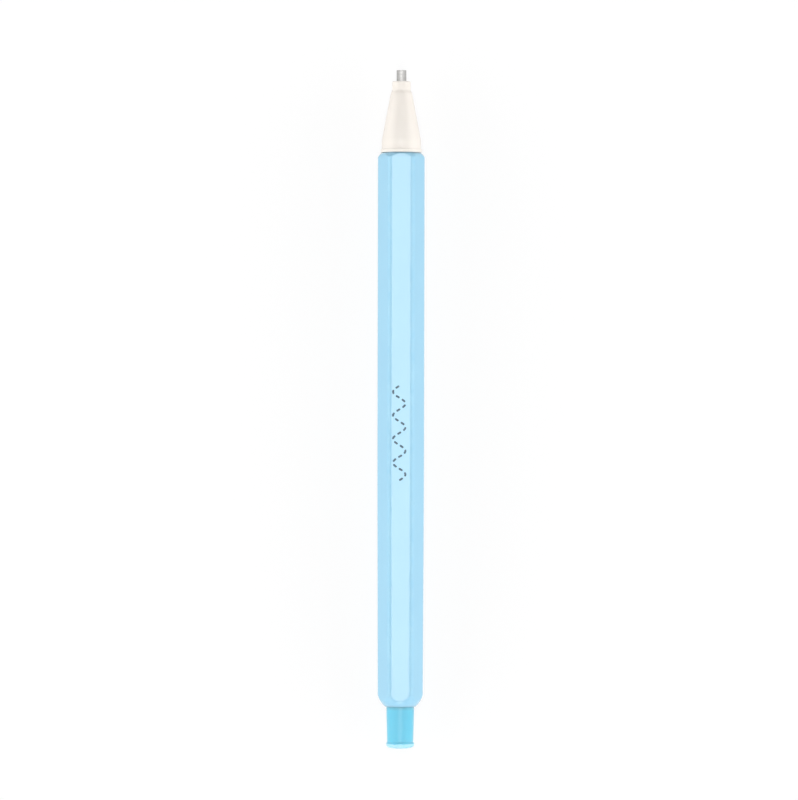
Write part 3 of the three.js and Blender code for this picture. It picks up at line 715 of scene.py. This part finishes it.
# Push button: a translucent blue moulding pressed on the tube's end. It narrows towards a small lip, above
# which its end is a low dome. Pulled off, it opens the tube for spare leads.
BUTTON_RADIUS = 2.91
BUTTON_TAPER_FRONT = -11.2
BUTTON_WAIST = 2.74
WAIST_REAR = -17.38
BUTTON_LIP = 2.94
LIP_FRONT = -17.77
LIP_REAR = -18.20
LIP_FADE = 0.25
BUTTON_DOME = 2.79
DOME_FRONT = -18.35
DOME_RISE = 0.56
DOME_ROWS = 14
TUBE_SOCKET = 2.36
TUBE_SOCKET_DEPTH = 12.05
SOCKET_LEAD = 0.15
BUTTON_BORE_DEPTH = 17.41
BUTTON_COLUMNS = 128
BUTTON_BLUE = (0.12, 0.525, 0.71, 1)
BUTTON_DRIFT = (0.14, 0.545, 0.725, 1)
# Paler blue of the button's rubbed edges, which is also the dome's painted highlight.
BUTTON_RUB_AND_HIGHLIGHT = (0.42, 0.75, 0.87, 1)
DOME_RUB_AND_HIGHLIGHT_BEND = 3
REAR_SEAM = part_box("barrel")[0].x

# Its seam entry paints a shade line where the button enters the barrel.
button_plastic = handled_plastic(
    "button_plastic", BUTTON_BLUE, BUTTON_DRIFT, BUTTON_RUB_AND_HIGHLIGHT,
    roughness=0.42, rub=0.9, patch=0.0009, seams=[(REAR_SEAM, 0.0008, 0.38)],
    Coat_Weight=1.0, Coat_Roughness=0.5,
    Subsurface_Weight=0.35, Subsurface_Radius=(0.4, 0.9, 1.0), Subsurface_Scale=0.0012,
)

# The dome is a quarter of an ellipse. The thumb has rubbed it and the lip more than any edge, and that
# paler colour there is also a painted highlight on the dome.
dome = np.linspace(0, np.pi / 2, DOME_ROWS)
points, bend, *closed = turned([
    *[(DOME_FRONT - DOME_RISE * np.cos(t), BUTTON_DOME * np.sin(t), 0.0) for t in dome],
    (LIP_REAR, BUTTON_LIP, 0.08), (LIP_FRONT, BUTTON_LIP, 0.07), (WAIST_REAR, BUTTON_WAIST, 0.1),
    (BUTTON_TAPER_FRONT, BUTTON_RADIUS, 1.0), (0, BUTTON_RADIUS, 0.3),
    (0, TUBE_SOCKET + SOCKET_LEAD, 0.04), (-SOCKET_LEAD, TUBE_SOCKET, 0.04),
    (-TUBE_SOCKET_DEPTH, TUBE_SOCKET, 0.04), (-TUBE_SOCKET_DEPTH, TUBE_BORE, 0.04),
    (-BUTTON_BORE_DEPTH, TUBE_BORE, 0.3), (-BUTTON_BORE_DEPTH, 0),
], BUTTON_COLUMNS)
# Past the lip the bend rises to fill the rub, which paints both thumb wear and a highlight on the dome.
dome_rub_and_highlight = DOME_RUB_AND_HIGHLIGHT_BEND * np.clip((LIP_FRONT - points[..., 0]) / LIP_FADE, 0, 1)
sewn("push_button_cap", [(in_frame(points, "push_button"), np.maximum(bend, dome_rub_and_highlight), *closed)],
     button_plastic, "push_button", "button")


# Barrel: one long moulding of pale blue plastic, six-sided with rounded corners, rounded over at the cone and
# turned to a shoulder at the button. It narrows slightly over its rear half. Its front bore has a thread.
BARREL_LENGTH = 116.65
BARREL_FLAT = 4.45
BARREL_CORNER = 1.2
BARREL_STRAIGHT = 63.6
BARREL_TAPER = 0.18
BARREL_FACE = 4.08
FRONT_ROUND = 1.6
FRONT_SWELL = 0.09
FRONT_POWER = 0.8
SHOULDER_FRONT = -114.02
SHOULDER_BOW = (-115.55, 0.29)
SHOULDER_SWELL = 0.03
REAR_EDGE = 3.24
CREASE = 0.05
BORE_RADIUS = 3.11
BUTTON_HOLE = 3.01
BUTTON_HOLE_FRONT = -112.5
SEAT_FRONT = -7.05
SEAT_REAR = -8.30
SEAT_RADIUS = 3.61
MOUTH_RADIUS = 4.03
THREAD_GAP = 0.05
CORNER_COLUMNS = 14
FLAT_COLUMNS = 12
BARREL_BLUE = (0.295, 0.58, 0.765, 1)
BARREL_DRIFT = (0.31, 0.60, 0.78, 1)
BARREL_RUBBED = (0.42, 0.69, 0.83, 1)


def flat_at(x):
    """Half the barrel's width across its flats: even to the end of its straight part, then falling evenly."""
    share = (-x - BARREL_STRAIGHT) / (BARREL_LENGTH - BARREL_STRAIGHT)
    return BARREL_FLAT - BARREL_TAPER * np.clip(share, 0, 1)


def corner_at(x):
    """How far the middles of the corners' curves and the corners themselves lie from the axis."""
    centre = (flat_at(x) - BARREL_CORNER) / np.cos(np.radians(30))
    return centre, centre + BARREL_CORNER


def six_sided(x, turn):
    """The radius of a hexagon with rounded corners, and how much of a corner each point is. At an angle off
    the nearest corner it is the far side of that corner's circle, or past the circle's end the flat over a
    cosine."""
    off = np.abs((turn + np.radians(30)) % np.radians(60) - np.radians(30))
    centre, _ = corner_at(x)
    meeting = np.radians(30) - np.arctan2(centre / 2, flat_at(x))
    inside = np.maximum(BARREL_CORNER**2 - (centre * np.sin(off)) ** 2, 0)
    on_corner = centre * np.cos(off) + np.sqrt(inside)
    on_flat = flat_at(x) / np.cos(np.radians(30) - off)
    return np.where(off < meeting, on_corner, on_flat), np.clip(1 - (off / meeting / 1.2) ** 2, 0, 1)


def bowed(start, middle, end, s):
    """A quadratic curve: (1 - s) squared of its start, 2 s (1 - s) of its middle and s squared of its end."""
    return (1 - s) ** 2 * start + 2 * s * (1 - s) * middle + s**2 * end


def turned_limit(x):
    """The round outline that trims the hexagon. At the front it rises from the face's edge by 1 - (1 - s)
    squared, to a power, with s the share of the rounding's length. At the rear it is a quadratic curve down
    to the edge."""
    front = np.clip(1 + x / FRONT_ROUND, 0, 1)
    swell = corner_at(x)[1] + FRONT_SWELL
    limit = BARREL_FACE + (swell - BARREL_FACE) * (1 - front**2) ** FRONT_POWER
    s = np.linspace(0, 1, 60)
    top = corner_at(SHOULDER_FRONT)[1]
    bow_x, bow_drop = SHOULDER_BOW
    curve_x = bowed(SHOULDER_FRONT, bow_x, -BARREL_LENGTH, s)
    curve_radius = bowed(top + SHOULDER_SWELL, top - bow_drop, REAR_EDGE, s)
    shoulder = np.interp(-x, np.concatenate([[-2 - SHOULDER_FRONT], -curve_x]),
                         np.concatenate([[top + 2 * FRONT_SWELL], curve_radius]))
    return np.minimum(limit, shoulder)


# Its seam entries paint shade lines where the barrel meets the cone and the button.
barrel_plastic = handled_plastic(
    "barrel_plastic", BARREL_BLUE, BARREL_DRIFT, BARREL_RUBBED,
    roughness=0.30, rub=0.35, patch=0.0016, seams=[(FRONT_SEAM, 0.0013, 0.15), (REAR_SEAM, 0.0004, 0.25)],
    Specular_IOR_Level=0.15, Coat_Weight=1.0, Coat_Roughness=0.2,
)

# Columns stand evenly round each corner's curve and across each flat. The outside's rows stand close together
# where it is rounded over, and where the hexagon meets the round outline the two are blended over a crease.
centre, _ = corner_at(0)
arc = np.radians(np.linspace(-30, 30, CORNER_COLUMNS + 1))
on_arc = np.arctan2(BARREL_CORNER * np.sin(arc), centre + BARREL_CORNER * np.cos(arc))
on_flat = np.linspace(on_arc[-1], np.radians(60) - on_arc[-1], FLAT_COLUMNS + 1)[1:-1]
turn = np.concatenate([np.concatenate([on_arc, on_flat]) + np.radians(60) * k for k in range(6)])
outer_x = np.concatenate([
    -FRONT_ROUND * (1 - np.cos(np.linspace(0, np.pi / 2, 40))), np.linspace(-1.7, -2.6, 6),
    np.linspace(-4, -BARREL_STRAIGHT, 16), np.linspace(-66, -112, 12), np.linspace(-112.6, -114, 8),
    np.linspace(-114.1, -BARREL_LENGTH, 44),
])[:, None]
side, corner = six_sided(outer_x, turn)
limit = turned_limit(outer_x)
share = np.clip(0.5 + 0.5 * (limit - side) / CREASE, 0, 1)
outer_radius = limit + (side - limit) * share - CREASE * share * (1 - share)
outer_bend = np.maximum(corner * share, 4 * share * (1 - share))

# The bore runs from the rear edge to the housing's seat. Its first corner and its last two only close it and
# are cut off. The thread's groove follows, out to the mouth.
bore_rows, bore_bend = [part[CORNER_ROWS:-2 * CORNER_ROWS] for part in softened([
    (-116.0, REAR_EDGE + 0.6), (-BARREL_LENGTH, REAR_EDGE, 0.06), (-BARREL_LENGTH, BUTTON_HOLE, 0.06),
    (BUTTON_HOLE_FRONT, BUTTON_HOLE), (BUTTON_HOLE_FRONT + 0.1, BORE_RADIUS), (SEAT_REAR, BORE_RADIUS, 0.06),
    (SEAT_REAR, SEAT_RADIUS, 0.05), (SEAT_FRONT, SEAT_RADIUS), (SEAT_FRONT, 3.9), (1, 3.9),
])]
groove_x = np.linspace(SEAT_FRONT + 0.02, 0, THREAD_ROWS)[:, None]
groove = thread_height(groove_x, turn, 1.0, SEAT_FRONT + 0.04, THREAD_GAP)
groove_radius = np.maximum(THREAD_ROOT + THREAD_GAP + THREAD_DEPTH * groove, MOUTH_RADIUS + groove_x)
x = np.concatenate([outer_x, bore_rows[:, :1], groove_x])
radius = np.concatenate([outer_radius, bore_rows[:, 1:] + 0 * turn, groove_radius])
bend = np.concatenate([outer_bend, bore_bend[:, None] + 0 * turn, 0 * groove_radius])
sewn("barrel_shell", [(in_frame(spun(x, radius, turn), "barrel"), bend, True, True)],
     barrel_plastic, "barrel", "shell")


# Printed mark: a running stitch that waves along the barrel's top flat, padded on in a dark slate ink. It
# shows which flat is up, and has no wording.
STITCH_FRONT = -49.1
STITCH_REAR = -68.95
STITCH_COUNT = 21
STITCH_SHARE = 0.64
STITCH_WIDTH = 0.42
STITCH_ROWS = 22
STITCH_COLUMNS = 16
WAVE_COUNT = 4
WAVE_HEIGHT = 1.3
WAVE_SIDE = 0.33
INK_PROUD = 0.012
INK_SLATE = (0.04, 0.085, 0.12, 1)
INK_WORN = (0.10, 0.18, 0.24, 1)

ink, tree, shader = new_material("printed_ink", IOR=1.48)
film = effect_of(tree, grain, {
    "Base": INK_SLATE, "Drift Color": INK_WORN, "Drift": 0.7, "Drift Size": 0.0007, "Grain Size": 0.00006,
    "Roughness": 0.45, "Roughness Spread": 0.2,
})
give_surface(tree, shader, film, strength=0.5, depth=0.000004)


def wave(x):
    """How far the row of stitches stands to the side at x, and its slope there: the wave's height times the
    sine, and times the cosine and the turn for each millimetre."""
    turns = 2 * np.pi * WAVE_COUNT / (STITCH_REAR - STITCH_FRONT)
    turn = turns * (x - STITCH_FRONT)
    return WAVE_SIDE + WAVE_HEIGHT * np.sin(turn), WAVE_HEIGHT * turns * np.cos(turn)


# Each stitch is a flat bead along the wave: round its section it stands its half width times the cosine to
# the side, and the ink's height times the sine above the flat. Its half width falls to nothing at its ends.
# The stitches are spaced evenly along the wave's own length.
wave_x = np.linspace(STITCH_FRONT, STITCH_REAR, 2001)
steps = np.hypot(np.diff(wave_x), wave(wave_x)[1][:-1] * np.diff(wave_x))
run = np.concatenate([[0], np.cumsum(steps)])
along = np.linspace(0, 1, STITCH_ROWS)[:, None]
around = np.linspace(0, 2 * np.pi, STITCH_COLUMNS, endpoint=False)
half = STITCH_WIDTH / 2 * (1 - np.abs(2 * along - 1) ** 6) ** 0.5
grids = []
for k in range(STITCH_COUNT):
    x = np.interp(run[-1] * (k + STITCH_SHARE * along) / (STITCH_COUNT - 1 + STITCH_SHARE), run, wave_x)
    side, slope = wave(x)
    lean = np.hypot(1, slope)
    y = side + half * np.cos(around) / lean
    stitch_x = x - half * np.cos(around) * slope / lean
    z = flat_at(x) + np.where(np.sin(around) > 0, INK_PROUD, INK_PROUD / 3) * np.sin(around) * (half > 0)
    grids.append((in_frame(np.stack([stitch_x, y, z], -1), "barrel"), 0, False, True))
sewn("printed_stitches", grids, ink, None, "shell")


# Floor and light: a table that looks white, in a plain pale room. A broad light hangs overhead. A narrow band
# and a large low softbox stand on each side, a high and a low one ahead of the tip, and one at the rear.
FLOOR_GREY = (0.15, 0.15, 0.15, 1)
FLOOR_GLOW = 0.85
FLOOR_REACH = 2.0
FLOOR_TOP = -0.00001
ROOM_LIGHT = 0.12
WHITE = (1, 1, 1, 1)


def shown_white(tree):
    """1 for the rays that show the background itself, to the camera, in gloss or through clear plastic."""
    rays = put(tree, "ShaderNodeLightPath").outputs
    seen = reckoned(tree, rays["Is Camera Ray"], "MAXIMUM", rays["Is Glossy Ray"])
    return reckoned(tree, seen, "MAXIMUM", rays["Is Transmission Ray"])


floor_corners = [(-1, -1), (1, -1), (1, 1), (-1, 1)]
floor_points = [(x * FLOOR_REACH, y * FLOOR_REACH, FLOOR_TOP) for x, y in floor_corners]
floor_mesh = bpy.data.meshes.new("table")
floor_mesh.from_pydata(floor_points, [], [(0, 1, 2, 3)])
floor = bpy.data.objects.new("table", floor_mesh)
bpy.context.scene.collection.objects.link(floor)
table, tree, shader = new_material("table_white", Base_Color=FLOOR_GREY, Roughness=0.9,
                                   Specular_IOR_Level=0.0, Emission_Color=WHITE)
tree.links.new(reckoned(tree, shown_white(tree), "MULTIPLY", FLOOR_GLOW), shader.inputs["Emission Strength"])
floor_mesh.materials.append(table)

room = bpy.data.worlds.new("room")
room.use_nodes = True
bpy.context.scene.world = room
background = room.node_tree.nodes["Background"].inputs
background["Color"].default_value = WHITE
brightness = spread(room.node_tree, shown_white(room.node_tree), 0.0, 1.0, ROOM_LIGHT, 1.0)
room.node_tree.links.new(brightness, background["Strength"])


def softbox(name, place, width, length, radiance, in_gloss=True):
    """A rectangular lamp that faces the pencil. Its power is pi times its area times its radiance. Its width
    lies level and its length upright. Straight overhead its width lies along the pencil. The low lamps are
    left out of the gloss, where they would wash the flats out in a low view."""
    lamp = bpy.data.lights.new(name, "AREA")
    lamp.shape = "RECTANGLE"
    lamp.size, lamp.size_y = width, length
    lamp.energy = np.pi * width * length * radiance
    made = bpy.data.objects.new(name, lamp)
    made.location = place
    made.rotation_euler = (-made.location).to_track_quat("-Z", "Y").to_euler()
    made.visible_camera = False
    made.visible_glossy = in_gloss
    bpy.context.scene.collection.objects.link(made)


softbox("overhead_softbox", (0, 0, 0.9), width=0.8, length=0.26, radiance=4.9)
softbox("left_band", (0, 0.83, 0.56), width=1.2, length=0.14, radiance=1.8)
softbox("right_band", (0, -0.83, 0.56), width=1.2, length=0.14, radiance=1.8)
softbox("left_softbox", (-0.3, 1.1, 0.28), width=2.4, length=0.5, radiance=4.6, in_gloss=False)
softbox("right_softbox", (-0.3, -1.1, 0.28), width=2.4, length=0.5, radiance=4.65, in_gloss=False)
softbox("front_softbox", (0.42, 0, 0.85), width=0.4, length=0.14, radiance=2.2)
softbox("tip_softbox", (1.1, 0, 0.25), width=0.6, length=0.44, radiance=3.0, in_gloss=False)
softbox("rear_softbox", (-1.1, 0, 0.5), width=0.5, length=0.5, radiance=3.0)


# Camera: straight above the pencil, tip up, as in the photograph. Its lens is long, so the pencil shows
# almost no perspective.
LENS_LENGTH = 250
SENSOR_WIDTH = 36
CAMERA_PLACE = (0.0020, 0.00039)
CAMERA_HEIGHT = 1.1708
CAMERA_TURN = -89.8865

camera_data = bpy.data.cameras.new("camera")
camera_data.lens = LENS_LENGTH
camera_data.sensor_width = SENSOR_WIDTH
camera = bpy.data.objects.new("camera", camera_data)
camera.location = (*CAMERA_PLACE, CAMERA_HEIGHT + AXIS_HEIGHT)
camera.rotation_euler = (0, 0, np.radians(CAMERA_TURN))
bpy.context.scene.collection.objects.link(camera)
bpy.context.scene.camera = camera

bpy.context.scene.view_settings.view_transform = "Standard"
